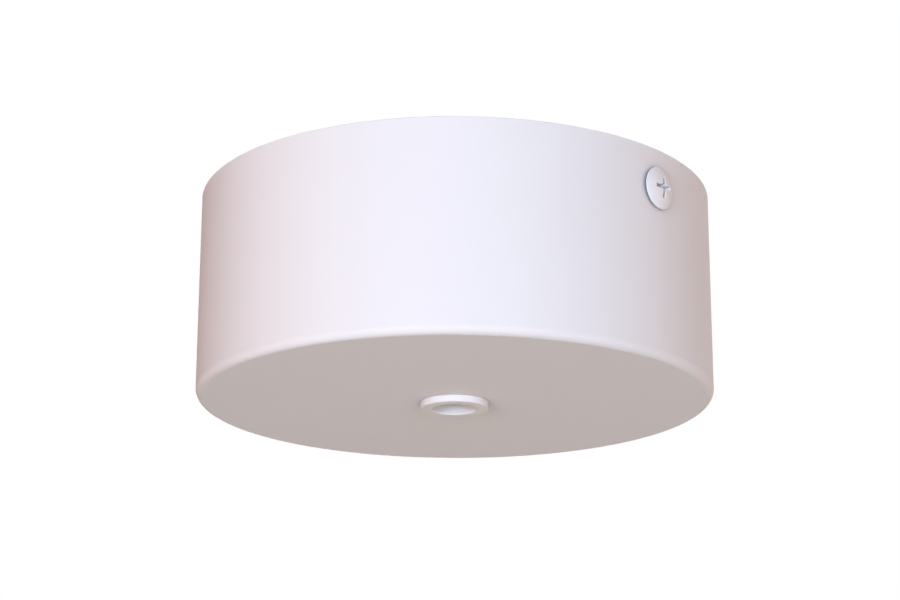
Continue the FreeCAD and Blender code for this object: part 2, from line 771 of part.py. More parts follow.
def makeCordGripScrews():
    body = newBody("cord_grip_screws", "places.gripOffset", "-places.gripScrewPlace", "-dims.strapThickness")
    makeScrew(body, "grip", "dims.smallShank", "dims.smallHead", "dims.smallHeadHeight",
              "places.gripSeat", "places.tipHeight")
    linearPattern(body, "gripPair", "Y_Axis", "2", "2 * places.gripScrewPlace")
    return body


# Earth terminal: the wire goes between the strap and a saddle washer, under a lock washer and a screw
def makeEarthSaddle():
    body = newBody("earth_saddle", "places.earthAlong", "places.earthAcross", "-dims.strapThickness")
    side = "dims.saddleWidth / 2"
    inner = "(%s - dims.saddleThickness)" % side
    bottom = "-places.saddleHeight"
    sketch = newSketch(body, "saddleProfile", "XZ_Plane")
    outline(sketch, [
        ("-" + side, "0"),
        ("-" + side, bottom),
        (side, bottom),
        (side, "0"),
        (inner, "0"),
        (inner, "-dims.saddleLip"),
        ("-" + inner, "-dims.saddleLip"),
        ("-" + inner, "0"),
    ])
    pad(body, sketch, "dims.saddleWidth", side="Symmetric")
    fillet(body, "saddleBends", "dims.saddleRound",
           lambda edge: isStraight(edge, "y") and liesAt(edge, x=side, z=bottom))
    sketch = newSketch(body, "saddleHole", "XY_Plane")
    circle(sketch, "0", "0", "dims.earthShank + dims.earthHoleGap")
    pocket(body, sketch)
    return body


def makeEarthLockWasher():
    body = newBody("earth_lock_washer", "places.earthAlong", "places.earthAcross",
                   "-dims.strapThickness - places.saddleHeight")
    sketch = newSketch(body, "lockRing", "XY_Plane")
    circle(sketch, "0", "0", "places.lockRadius")
    circle(sketch, "0", "0", "dims.earthShank + dims.earthHoleGap")
    pad(body, sketch, "dims.lockThickness", turned=True)
    sketch = newSketch(body, "lockNotch", "XY_Plane")
    rectangle(sketch, "places.lockRadius - dims.lockNotchDepth", "places.lockRadius + dims.lockNotchDepth",
              "-dims.lockNotch / 2", "dims.lockNotch / 2")
    notch = pocket(body, sketch)
    polarPattern(body, "lockTeeth", "Z_Axis", "dims.lockNotches", [notch])
    return body


def makeEarthScrew():
    body = newBody("earth_screw", "places.earthAlong", "places.earthAcross", "-dims.strapThickness")
    makeScrew(body, "earth", "dims.earthShank", "dims.earthHead", "dims.earthHeadHeight",
              "places.earthSeat", "places.tipHeight")
    return body


pieces = [
    makeCover(),
    makeCableBush(),
    makeCeilingStrap(),
    makeSideScrews(),
    makeTerminalHousing(),
    makeTerminalTube("live", "-places.polePitch"),
    makeTerminalTube("earth", "0"),
    makeTerminalTube("neutral", "places.polePitch"),
    makeTerminalScrews(),
    makeHousingScrews(),
    makeCordGripBase(),
    makeCordGripBar(),
    makeCordGripScrews(),
    makeEarthSaddle(),
    makeEarthLockWasher(),
    makeEarthScrew(),
]

doc.recompute()
for item in doc.Objects:
    if {"Invalid", "Error"} & set(item.State):
        raise RuntimeError("%s failed: %s" % (item.Name, item.State))
for piece in pieces:
    if piece.Shape.isNull() or not piece.Shape.isValid():
        raise RuntimeError("%s has no valid shape" % piece.Label)

os.makedirs("parts", exist_ok=True)
for piece in pieces:
    piece.Shape.exportStep("parts/%s.step" % piece.Label)
    box = piece.Shape.BoundBox
    print("%-20s %d solids, %.1f mm3, z %.2f to %.2f" % (
        piece.Label, len(piece.Shape.Solids), piece.Shape.Volume, box.ZMin, box.ZMax))
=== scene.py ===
import math

import bmesh
import bpy
from mathutils import Matrix, Vector


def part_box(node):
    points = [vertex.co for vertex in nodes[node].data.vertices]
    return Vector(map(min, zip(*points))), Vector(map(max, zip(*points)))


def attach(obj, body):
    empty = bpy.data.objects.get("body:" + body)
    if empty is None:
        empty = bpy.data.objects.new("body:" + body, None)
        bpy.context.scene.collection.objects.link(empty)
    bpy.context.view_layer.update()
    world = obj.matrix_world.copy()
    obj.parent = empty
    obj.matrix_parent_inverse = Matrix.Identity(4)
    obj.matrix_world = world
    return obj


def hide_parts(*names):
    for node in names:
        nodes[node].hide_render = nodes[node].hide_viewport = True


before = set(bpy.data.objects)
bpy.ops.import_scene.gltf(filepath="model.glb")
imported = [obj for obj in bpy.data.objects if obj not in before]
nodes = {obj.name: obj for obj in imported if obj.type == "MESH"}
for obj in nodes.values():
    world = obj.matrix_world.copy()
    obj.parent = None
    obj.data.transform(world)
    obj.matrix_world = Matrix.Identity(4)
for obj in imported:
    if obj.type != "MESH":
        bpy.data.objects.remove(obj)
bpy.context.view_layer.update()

# Ceiling rose for a pendant lamp, seen from below. The ceiling is z = 0 and the strap runs along X.
mm = 0.001
print("frame loaded with", len(nodes), "nodes")


# Small helpers

def linear(hexColour):
    colour = []
    for place in (1, 3, 5):
        value = int(hexColour[place:place + 2], 16) / 255
        colour.append(value / 12.92 if value <= 0.04045 else ((value + 0.055) / 1.055) ** 2.4)
    return colour + [1.0]


def addNode(tree, kind, inputs=None, **settings):
    node = tree.nodes.new(kind)
    for name, value in settings.items():
        setattr(node, name, value)
    for socket, value in (inputs or {}).items():
        if isinstance(value, bpy.types.NodeSocket):
            tree.links.new(value, node.inputs[socket])
        else:
            node.inputs[socket].default_value = value
    return node


def startMaterial(name):
    material = bpy.data.materials.new(name)
    material.use_nodes = True
    tree = material.node_tree
    tree.nodes.clear()
    where = addNode(tree, "ShaderNodeTexCoord").outputs["Object"]  # metres, in the rose's own frame
    return material, tree, where


def asObject(name, mesh):
    data = bpy.data.meshes.new(name)
    mesh.to_mesh(data)
    mesh.free()
    made = bpy.data.objects.new(name, data)
    bpy.context.scene.collection.objects.link(made)
    return made


def perMetre(millimetres):
    return 1000 / millimetres  # pattern scale that gives one feature in so many millimetres


def direction(azimuth, elevation):
    around = math.radians(azimuth)
    up = math.radians(elevation)
    return Vector((math.sin(around) * math.cos(up), -math.cos(around) * math.cos(up), math.sin(up)))


# Camera: below the rose and in front of it, with the side screw on the right

cameraView = {
    "azimuth": 41.8,  # degrees
    "elevation": -16.56,
    "distance": 438.25,  # mm, from half way up the cover
    "aimHeight": -20.0,  # mm
    "lens": 89.224,
    "sensor": 36.0,
    "yaw": 0.123,  # small turns after aiming, in degrees
    "pitch": 0.107,
    "roll": -0.107,
    "near": 0.01,  # metres
    "far": 50.0,
}


def placeCamera():
    aim = Vector((0, 0, cameraView["aimHeight"] * mm))
    out = direction(cameraView["azimuth"], cameraView["elevation"])
    place = aim + out * cameraView["distance"] * mm
    forward = -out
    right = forward.cross(Vector((0, 0, 1))).normalized()
    up = right.cross(forward)
    yaw = Matrix.Rotation(math.radians(cameraView["yaw"]), 3, up)
    forward, right = yaw @ forward, yaw @ right
    pitch = Matrix.Rotation(math.radians(cameraView["pitch"]), 3, right)
    forward, up = pitch @ forward, pitch @ up
    roll = Matrix.Rotation(math.radians(cameraView["roll"]), 3, forward)
    right, up = roll @ right, roll @ up
    camera = bpy.data.objects.new("camera", bpy.data.cameras.new("camera"))
    camera.data.lens = cameraView["lens"]
    camera.data.sensor_width = cameraView["sensor"]
    camera.data.clip_start = cameraView["near"]
    camera.data.clip_end = cameraView["far"]
    turned = Matrix((right, up, -forward)).transposed().to_4x4()
    camera.matrix_world = Matrix.Translation(place) @ turned
    bpy.context.scene.collection.objects.link(camera)
    bpy.context.scene.camera = camera


placeCamera()
print("camera placed")


# Light: two cool keys in front, warm softboxes at the sides, soft light from above, below and behind, and a
# dim warm room

roomLight = {
    "shown": "#FFFFFF",
    "room": "#FFEBC8",
    "roomStrength": 0.16,
}
softboxes = [
    # name, azimuth, elevation, distance, width and height in metres, spread (less with a grid), watts, colour
    ("rightKey", 61.8, -9.5, 1.1, 0.3, 0.3, 180, 4.65, "#CEE5FF"),
    ("leftKey", 17.8, -9.5, 1.1, 0.3, 0.3, 180, 6.15, "#CEE5FF"),
    ("leftSoftbox", -18.2, -5, 1.1, 0.55, 0.6, 180, 3.2, "#FFAC70"),
    ("rightSoftbox", 111.8, -5, 1.1, 0.55, 0.6, 180, 1.95, "#FFA05C"),
    ("lowSoftbox", 41.8, -55, 0.9, 0.6, 0.6, 180, 1.1, "#FFEFD8"),
    ("backSoftbox", 222, 25, 1.3, 0.5, 0.5, 50, 1.8, "#F4F2FF"),
    ("topSoftbox", 41.8, 80, 1.2, 0.9, 0.9, 180, 2.0, "#FFFFFF"),
]


def seenDirectly(tree):
    # 1 for what the camera, a reflection or glass sees, 0 for what only lights the scene
    rays = addNode(tree, "ShaderNodeLightPath").outputs
    seen = addNode(tree, "ShaderNodeMath", {0: rays["Is Camera Ray"], 1: rays["Is Glossy Ray"]},
                   operation="MAXIMUM")
    seen = addNode(tree, "ShaderNodeMath", {0: seen.outputs[0], 1: rays["Is Transmission Ray"]},
                   operation="MAXIMUM")
    return seen.outputs[0]


def makeWorld():
    world = bpy.data.worlds.new("studio")
    world.use_nodes = True
    tree = world.node_tree
    tree.nodes.clear()
    room = addNode(tree, "ShaderNodeBackground",
                   {"Color": linear(roomLight["room"]), "Strength": roomLight["roomStrength"]})
    white = addNode(tree, "ShaderNodeBackground", {"Color": linear(roomLight["shown"]), "Strength": 1.0})
    both = addNode(tree, "ShaderNodeMixShader",
                   {0: seenDirectly(tree), 1: room.outputs[0], 2: white.outputs[0]})
    addNode(tree, "ShaderNodeOutputWorld", {"Surface": both.outputs[0]})
    bpy.context.scene.world = world


def addSoftbox(name, azimuth, elevation, distance, width, height, spread, watts, colour):
    light = bpy.data.lights.new(name, "AREA")
    light.shape = "RECTANGLE"
    light.size = width
    light.size_y = height
    light.spread = math.radians(spread)
    light.energy = watts
    light.color = linear(colour)[:3]
    out = direction(azimuth, elevation)
    softbox = bpy.data.objects.new(name, light)
    softbox.location = out * distance + Vector((0, 0, cameraView["aimHeight"] * mm))
    softbox.rotation_euler = out.to_track_quat("Z", "Y").to_euler()
    softbox.visible_camera = False
    bpy.context.scene.collection.objects.link(softbox)


makeWorld()
for softbox in softboxes:
    addSoftbox(*softbox)
bpy.context.scene.view_settings.view_transform = "Standard"
print("lights placed:", len(softboxes))


# Floor, well below the rose

floorPlan = {
    "drop": 1.0,  # metres
    "half": 6.0,
    "cells": 8,
    "paint": "#E9E6E3",
    "wornPaint": "#ECEAE8",
    "mottle": 40.0,  # mm
    "roughness": 0.9,
    "glow": 0.74,  # what the camera and reflections see on top of the lit paint, so that it comes to white
}


def makeFloor():
    mesh = bmesh.new()
    bmesh.ops.create_grid(mesh, x_segments=floorPlan["cells"], y_segments=floorPlan["cells"],
                          size=floorPlan["half"], matrix=Matrix.Translation((0, 0, -floorPlan["drop"])))
    floor = asObject("floor", mesh)
    material, tree, where = startMaterial("matFloorPaint")
    mottle = addNode(tree, "ShaderNodeTexNoise", {"Vector": where, "Scale": perMetre(floorPlan["mottle"])})
    shade = addNode(tree, "ShaderNodeMix", {
        0: mottle.outputs["Fac"], 6: linear(floorPlan["paint"]), 7: linear(floorPlan["wornPaint"])},
        data_type="RGBA")
    glow = addNode(tree, "ShaderNodeMath", {0: seenDirectly(tree), 1: floorPlan["glow"]},
                   operation="MULTIPLY")
    paint = addNode(tree, "ShaderNodeBsdfPrincipled", {
        "Base Color": shade.outputs[2], "Roughness": floorPlan["roughness"],
        "Emission Color": linear(roomLight["shown"]), "Emission Strength": glow.outputs[0]})
    addNode(tree, "ShaderNodeOutputMaterial", {"Surface": paint.outputs[0]})
    floor.data.materials.append(material)


makeFloor()


# A dark card beyond the left edge, out of the picture: without one, a white object fades into a white
# background

flagCard = {
    "azimuth": -88.0,  # degrees
    "distance": 0.7,  # metres
    "width": 1.0,
    "height": 1.0,
    "cells": 4,
    "felt": "#3B332D",
    "nap": "#4A4038",
    "fibre": 3.0,  # mm
    "roughness": 0.95,
}


def makeFlag():
    mesh = bmesh.new()
    bmesh.ops.create_grid(mesh, x_segments=flagCard["cells"], y_segments=flagCard["cells"],
                          size=0.5)  # one metre square, before it is scaled
    bmesh.ops.scale(mesh, vec=(flagCard["width"], flagCard["height"], 1.0), verts=mesh.verts)
    flag = asObject("flagCard", mesh)
    out = direction(flagCard["azimuth"], 0)
    flag.location = out * flagCard["distance"]
    flag.rotation_euler = out.to_track_quat("Z", "Y").to_euler()
    flag.visible_camera = False
    material, tree, where = startMaterial("blackoutFelt")
    fibre = addNode(tree, "ShaderNodeTexNoise", {"Vector": where, "Scale": perMetre(flagCard["fibre"])})
    shade = addNode(tree, "ShaderNodeMix", {
        0: fibre.outputs["Fac"], 6: linear(flagCard["felt"]), 7: linear(flagCard["nap"])},
        data_type="RGBA")
    felt = addNode(tree, "ShaderNodeBsdfPrincipled", {
        "Base Color": shade.outputs[2], "Roughness": flagCard["roughness"]})
    addNode(tree, "ShaderNodeOutputMaterial", {"Surface": felt.outputs[0]})
    flag.data.materials.append(material)


makeFlag()
print("floor and flag made")


# Painted shade where faces meet: grey mixed into the colour by ambient occlusion. It makes a thin dark
# line along seams and under edges, and on the cover a wide soft painted shadow around what stands off it.
# A place is 1 open out on a free face and 0 deep in a crack; the painted shade starts at "open" and is
# darkest at "closed".

paintedShadeGrey = "#80767A"
paintedShadeSamples = 12
coverPaintedShade = {"reach": 4.0, "open": 0.99, "closed": 0.45, "most": 0.6}  # reach in mm
screwPaintedShade = {"reach": 1.3, "open": 0.86, "closed": 0.30, "most": 0.2}
mouldingPaintedShade = {"reach": 1.3, "open": 0.86, "closed": 0.30, "most": 0.4}


# Mixes painted shade into a colour: grey wherever ambient occlusion finds other faces close by
def withPaintedShade(tree, tint, paintedShade):
    nearby = addNode(tree, "ShaderNodeAmbientOcclusion", {"Distance": paintedShade["reach"] * mm},
                     samples=paintedShadeSamples)
    share = addNode(tree, "ShaderNodeMapRange", {
        0: nearby.outputs["AO"], 1: paintedShade["open"], 2: paintedShade["closed"], 3: 0.0, 4: paintedShade["most"]})
    layer = addNode(tree, "ShaderNodeMix", {0: share.outputs[0], 6: tint, 7: linear(paintedShadeGrey)},
                    data_type="RGBA")
    return layer.outputs[2]


# Materials. The sizes and depths of their patterns are in mm. Roughness swings about its value, or runs from
# a smoother one to a rougher one, as a pattern goes from low to high.

noiseLow, noiseHigh = 0.3, 0.7  # a noise pattern rarely leaves these
bumpStrength = 0.5
grainStrength = 0.6


# Satin powder coat on drawn steel: a soft, even white whose slight orange peel blurs its highlights
powderCoat = {
    "white": "#F1F0F2", "warmWhite": "#EFEDEE", "cloud": 22.0,
    "roughness": 0.50, "swing": 0.03, "ior": 1.5,
    "peel": 1.4, "peelDepth": 0.006, "speck": 0.35, "speckDepth": 0.002,
}


def satinPowderCoat(name, paintedShade):
    material, tree, where = startMaterial(name)
    cloud = addNode(tree, "ShaderNodeTexNoise", {
        "Vector": where, "Scale": perMetre(powderCoat["cloud"]), "Detail": 3.0})
    tint = addNode(tree, "ShaderNodeMix", {
        0: cloud.outputs["Fac"], 6: linear(powderCoat["white"]), 7: linear(powderCoat["warmWhite"])},
        data_type="RGBA")
    peel = addNode(tree, "ShaderNodeTexNoise", {
        "Vector": where, "Scale": perMetre(powderCoat["peel"]), "Detail": 1.0})
    speck = addNode(tree, "ShaderNodeTexNoise", {
        "Vector": where, "Scale": perMetre(powderCoat["speck"]), "Detail": 2.0})
    wave = addNode(tree, "ShaderNodeBump", {
        "Height": peel.outputs["Fac"], "Strength": bumpStrength, "Distance": powderCoat["peelDepth"] * mm})
    fine = addNode(tree, "ShaderNodeBump", {
        "Height": speck.outputs["Fac"], "Strength": bumpStrength, "Distance": powderCoat["speckDepth"] * mm,
        "Normal": wave.outputs[0]})
    sheen = addNode(tree, "ShaderNodeMapRange", {
        0: peel.outputs["Fac"], 1: noiseLow, 2: noiseHigh,
        3: powderCoat["roughness"] - powderCoat["swing"],
        4: powderCoat["roughness"] + powderCoat["swing"]})
    # The coat's white carries painted shade wherever other faces are close
    shader = addNode(tree, "ShaderNodeBsdfPrincipled", {
        "Base Color": withPaintedShade(tree, tint.outputs[2], paintedShade), "Roughness": sheen.outputs[0],
        "IOR": powderCoat["ior"], "Normal": fine.outputs[0]})
    addNode(tree, "ShaderNodeOutputMaterial", {"Surface": shader.outputs[0]})
    return material


# Moulded nylon: a milky white that lets a little light in, with the mould's fine spark-eroded grain
nylon = {
    "white": "#F0EEED", "flowWhite": "#ECE9E6", "flow": 5.0,
    "roughness": 0.45, "ior": 1.53, "grain": 0.3, "grainDepth": 0.004,
    "milkiness": 0.25, "bleed": (1.0, 0.9, 0.8), "depth": 0.6,
}


def mouldedNylon():
    material, tree, where = startMaterial("mouldedNylon")
    flow = addNode(tree, "ShaderNodeTexNoise", {
        "Vector": where, "Scale": perMetre(nylon["flow"]), "Detail": 2.0})
    tint = addNode(tree, "ShaderNodeMix", {
        0: flow.outputs["Fac"], 6: linear(nylon["white"]), 7: linear(nylon["flowWhite"])},
        data_type="RGBA")
    grain = addNode(tree, "ShaderNodeTexNoise", {
        "Vector": where, "Scale": perMetre(nylon["grain"]), "Detail": 3.0})
    rough = addNode(tree, "ShaderNodeBump", {
        "Height": grain.outputs["Fac"], "Strength": grainStrength, "Distance": nylon["grainDepth"] * mm})
    shader = addNode(tree, "ShaderNodeBsdfPrincipled", {
        "Base Color": tint.outputs[2], "Roughness": nylon["roughness"], "IOR": nylon["ior"],
        "Subsurface Weight": nylon["milkiness"], "Subsurface Radius": nylon["bleed"],
        "Subsurface Scale": nylon["depth"] * mm, "Normal": rough.outputs[0]})
    addNode(tree, "ShaderNodeOutputMaterial", {"Surface": shader.outputs[0]})
    return material


# Glass filled polyamide, moulded: matt and slightly mottled, with flow marks drawn out from the gate
polyamide = {
    "natural": "#EEEAE0", "naturalFlow": "#E4DDCC", "grey": "#E6E6E3", "greyFlow": "#D8D8D4",
    "flow": 6.0, "flowStretch": (1.0, 0.4, 1.0), "swirl": 1.2,
    "roughness": 0.55, "swing": 0.06, "ior": 1.53, "grain": 0.25, "grainDepth": 0.006,
    "milkiness": 0.15, "bleed": (1.0, 0.85, 0.6), "depth": 0.8,
}


def mouldedPolyamide(name, colour, flowColour):
    material, tree, where = startMaterial(name)
    stretch = addNode(tree, "ShaderNodeMapping", {"Vector": where, "Scale": polyamide["flowStretch"]})
    flow = addNode(tree, "ShaderNodeTexNoise", {
        "Vector": stretch.outputs[0], "Scale": perMetre(polyamide["flow"]), "Detail": 4.0,
        "Distortion": polyamide["swirl"]})
    tint = addNode(tree, "ShaderNodeMix", {
        0: flow.outputs["Fac"], 6: linear(colour), 7: linear(flowColour)}, data_type="RGBA")
    grain = addNode(tree, "ShaderNodeTexNoise", {
        "Vector": where, "Scale": perMetre(polyamide["grain"]), "Detail": 3.0})
    sheen = addNode(tree, "ShaderNodeMapRange", {
        0: flow.outputs["Fac"], 1: noiseLow, 2: noiseHigh,
        3: polyamide["roughness"] - polyamide["swing"],
        4: polyamide["roughness"] + polyamide["swing"]})
    rough = addNode(tree, "ShaderNodeBump", {
        "Height": grain.outputs["Fac"], "Strength": grainStrength,
        "Distance": polyamide["grainDepth"] * mm})
    # The base colour carries painted shade in seams and recesses, where other faces are close
    shader = addNode(tree, "ShaderNodeBsdfPrincipled", {
        "Base Color": withPaintedShade(tree, tint.outputs[2], mouldingPaintedShade), "Roughness": sheen.outputs[0],
        "IOR": polyamide["ior"],
        "Subsurface Weight": polyamide["milkiness"], "Subsurface Radius": polyamide["bleed"],
        "Subsurface Scale": polyamide["depth"] * mm, "Normal": rough.outputs[0]})
    addNode(tree, "ShaderNodeOutputMaterial", {"Surface": shader.outputs[0]})
    return material


# Zinc plated sheet, cold rolled: faint lines along the strip and cloudy passivation with a cool cast
zincSheet = {
    "bright": "#D9DBDD", "dull": "#BFC1C2", "cloud": 7.0, "swirl": 0.8,
    "blue": "#C9CFD8", "cast": 26.0, "castFrom": 0.42, "castTo": 0.65, "castMost": 0.6,
    "roughness": 0.34, "smoother": 0.07, "rougher": 0.09,
    "line": 0.12, "lineLength": 9.0, "lineDepth": 0.003,
}


def platedSheet():
    material, tree, where = startMaterial("zincPlatedSheet")
    drawnOut = zincSheet["line"] / zincSheet["lineLength"]
    along = addNode(tree, "ShaderNodeMapping", {"Vector": where, "Scale": (drawnOut, 1.0, 1.0)})
    lines = addNode(tree, "ShaderNodeTexNoise", {
        "Vector": along.outputs[0], "Scale": perMetre(zincSheet["line"]), "Detail": 2.0})
    cloud = addNode(tree, "ShaderNodeTexNoise", {
        "Vector": where, "Scale": perMetre(zincSheet["cloud"]), "Detail": 4.0,
        "Distortion": zincSheet["swirl"]})
    cast = addNode(tree, "ShaderNodeTexNoise", {
        "Vector": where, "Scale": perMetre(zincSheet["cast"]), "Detail": 1.0})
    grey = addNode(tree, "ShaderNodeMix", {
        0: cloud.outputs["Fac"], 6: linear(zincSheet["bright"]), 7: linear(zincSheet["dull"])},
        data_type="RGBA")
    share = addNode(tree, "ShaderNodeMapRange", {
        0: cast.outputs["Fac"], 1: zincSheet["castFrom"], 2: zincSheet["castTo"], 3: 0.0,
        4: zincSheet["castMost"]})
    tint = addNode(tree, "ShaderNodeMix", {
        0: share.outputs[0], 6: grey.outputs[2], 7: linear(zincSheet["blue"])}, data_type="RGBA")
    sheen = addNode(tree, "ShaderNodeMapRange", {
        0: cloud.outputs["Fac"], 1: noiseLow, 2: noiseHigh,
        3: zincSheet["roughness"] - zincSheet["smoother"],
        4: zincSheet["roughness"] + zincSheet["rougher"]})
    rolled = addNode(tree, "ShaderNodeBump", {
        "Height": lines.outputs["Fac"], "Strength": bumpStrength, "Distance": zincSheet["lineDepth"] * mm})
    shader = addNode(tree, "ShaderNodeBsdfPrincipled", {
        "Base Color": tint.outputs[2], "Metallic": 1.0, "Roughness": sheen.outputs[0],
        "Normal": rolled.outputs[0]})
    addNode(tree, "ShaderNodeOutputMaterial", {"Surface": shader.outputs[0]})
    return material


# Zinc plated screws, cold headed and thread rolled: bright, with a fine pitted skin
zincScrew = {
    "bright": "#DCDEE0", "dull": "#B9BBBD", "cloud": 1.6,
    "roughness": 0.28, "smoother": 0.06, "rougher": 0.10, "pit": 0.18, "pitDepth": 0.004,
}


def platedScrew():
    material, tree, where = startMaterial("zincPlatedScrewSteel")
    cloud = addNode(tree, "ShaderNodeTexNoise", {
        "Vector": where, "Scale": perMetre(zincScrew["cloud"]), "Detail": 4.0})
    tint = addNode(tree, "ShaderNodeMix", {
        0: cloud.outputs["Fac"], 6: linear(zincScrew["bright"]), 7: linear(zincScrew["dull"])},
        data_type="RGBA")
    pits = addNode(tree, "ShaderNodeTexNoise", {
        "Vector": where, "Scale": perMetre(zincScrew["pit"]), "Detail": 2.0})
    sheen = addNode(tree, "ShaderNodeMapRange", {
        0: cloud.outputs["Fac"], 1: noiseLow, 2: noiseHigh,
        3: zincScrew["roughness"] - zincScrew["smoother"],
        4: zincScrew["roughness"] + zincScrew["rougher"]})
    skin = addNode(tree, "ShaderNodeBump", {
        "Height": pits.outputs["Fac"], "Strength": bumpStrength, "Distance": zincScrew["pitDepth"] * mm})
    shader = addNode(tree, "ShaderNodeBsdfPrincipled", {
        "Base Color": tint.outputs[2], "Metallic": 1.0, "Roughness": sheen.outputs[0],
        "Normal": skin.outputs[0]})
    addNode(tree, "ShaderNodeOutputMaterial", {"Surface": shader.outputs[0]})
    return material


# Brass, turned or pressed: warm yellow with a little tarnish, and fine tool rings around a tube or grain
# across a stamping
brass = {
    "bright": "#E6CF92", "tarnish": "#BE9B5B",
    "cloud": 3.5, "tarnishFrom": 0.45, "tarnishTo": 0.7, "tarnishMost": 0.7,
    "roughness": 0.24, "smoother": 0.05, "rougher": 0.12, "ring": 0.2, "ringDepth": 0.003,
    "turned": (1.0, 0.03, 0.03), "pressed": (0.3, 0.3, 1.0),
}


def turnedBrass(name, stretch):
    material, tree, where = startMaterial(name)
    along = addNode(tree, "ShaderNodeMapping", {"Vector": where, "Scale": stretch})
    rings = addNode(tree, "ShaderNodeTexNoise", {
        "Vector": along.outputs[0], "Scale": perMetre(brass["ring"]), "Detail": 1.0})
    cloud = addNode(tree, "ShaderNodeTexNoise", {
        "Vector": where, "Scale": perMetre(brass["cloud"]), "Detail": 4.0})
    share = addNode(tree, "ShaderNodeMapRange", {
        0: cloud.outputs["Fac"], 1: brass["tarnishFrom"], 2: brass["tarnishTo"], 3: 0.0,
        4: brass["tarnishMost"]})
    tint = addNode(tree, "ShaderNodeMix", {
        0: share.outputs[0], 6: linear(brass["bright"]), 7: linear(brass["tarnish"])}, data_type="RGBA")
    sheen = addNode(tree, "ShaderNodeMapRange", {
        0: cloud.outputs["Fac"], 1: noiseLow, 2: noiseHigh,
        3: brass["roughness"] - brass["smoother"],
        4: brass["roughness"] + brass["rougher"]})
    cut = addNode(tree, "ShaderNodeBump", {
        "Height": rings.outputs["Fac"], "Strength": bumpStrength, "Distance": brass["ringDepth"] * mm})
    shader = addNode(tree, "ShaderNodeBsdfPrincipled", {
        "Base Color": tint.outputs[2], "Metallic": 1.0, "Roughness": sheen.outputs[0],
        "Normal": cut.outputs[0]})
    addNode(tree, "ShaderNodeOutputMaterial", {"Surface": shader.outputs[0]})
    return material


# The cover's coat gets a wide soft painted shadow around the side screw heads and the bush; the screw heads
# get a faint painted shade in their recesses and under their rims
coatFinish = satinPowderCoat("satinPowderCoatedSteel", coverPaintedShade)
screwCoatFinish = satinPowderCoat("satinPowderCoatedScrewHeads", screwPaintedShade)
nylonFinish = mouldedNylon()
housingFinish = mouldedPolyamide("naturalPolyamide", polyamide["natural"], polyamide["naturalFlow"])
gripFinish = mouldedPolyamide("greyPolyamide", polyamide["grey"], polyamide["greyFlow"])
sheetFinish = platedSheet()
screwFinish = platedScrew()
tubeFinish = turnedBrass("turnedBrassTube", brass["turned"])
earthFinish = turnedBrass("pressedBrass", brass["pressed"])
print("materials made")

nodeFinishes = {
    "cover": coatFinish,
    "cable_bush": nylonFinish,
    "ceiling_strap": sheetFinish,
    "terminal_housing": housingFinish,
    "terminal_tube_live": tubeFinish,
    "terminal_tube_earth": tubeFinish,
    "terminal_tube_neutral": tubeFinish,
    "cord_grip_base": gripFinish,
    "cord_grip_bar": gripFinish,
    "earth_saddle": earthFinish,
    "earth_lock_washer": screwFinish,
}
for name, finish in nodeFinishes.items():
    for place in nodes[name].material_slots:
        place.material = finish
print("finishes given to", len(nodeFinishes), "CAD nodes")


# Screws. Each is made standing up, head down, with its seat at height 0 and its tip above it. Their lengths
# are in mm, and the head, seat, shank and core are radii.

threadM3 = {"shank": 1.5, "core": 1.22, "pitch": 0.5}
threadM4 = {"shank": 2.0, "core": 1.64, "pitch": 0.7}
tuck = 0.1  # the head's underside stops this far inside the thread's root
sink = 0.3  # the shank reaches this far into the head
sharpAngle = 32  # degrees; an edge that bends more stays sharp
tolerance = 1e-7  # metres


def rounded(corners, steps=4):
    # corners are (radius, height) or (radius, height, round); a round corner becomes a short arc
    points = []
    for index, corner in enumerate(corners):
        here = Vector(corner[:2])
        if len(corner) == 2:
            points.append(here)
            continue
        back = (Vector(corners[index - 1][:2]) - here).normalized()
        onward = (Vector(corners[index + 1][:2]) - here).normalized()
        half = back.angle(onward) / 2
        reach = corner[2] / math.tan(half)
        centre = here + (back + onward).normalized() * corner[2] / math.sin(half)
        first = (here + back * reach - centre).normalized()
        last = (here + onward * reach - centre).normalized()
        for step in range(steps + 1):
            points.append(centre + first.slerp(last, step / steps).normalized() * corner[2])
    return points


def spin(profile, segments):
    # turns a profile that runs from axis to axis into a closed mesh
    mesh = bmesh.new()
    turns = [2 * math.pi * step / segments for step in range(segments)]
    rings = []
    for radius, height in profile:
        if radius < tolerance:
            rings.append([mesh.verts.new((0, 0, height))])
        else:
            rings.append([mesh.verts.new((radius * math.cos(turn), radius * math.sin(turn), height))
                          for turn in turns])
    for lower, upper in zip(rings, rings[1:]):
        for index in range(segments):
            after = (index + 1) % segments
            corners = [lower[index % len(lower)], lower[after % len(lower)],
                       upper[after % len(upper)], upper[index % len(upper)]]
            mesh.faces.new(list(dict.fromkeys(corners)))
    bmesh.ops.recalc_face_normals(mesh, faces=mesh.faces)
    return mesh


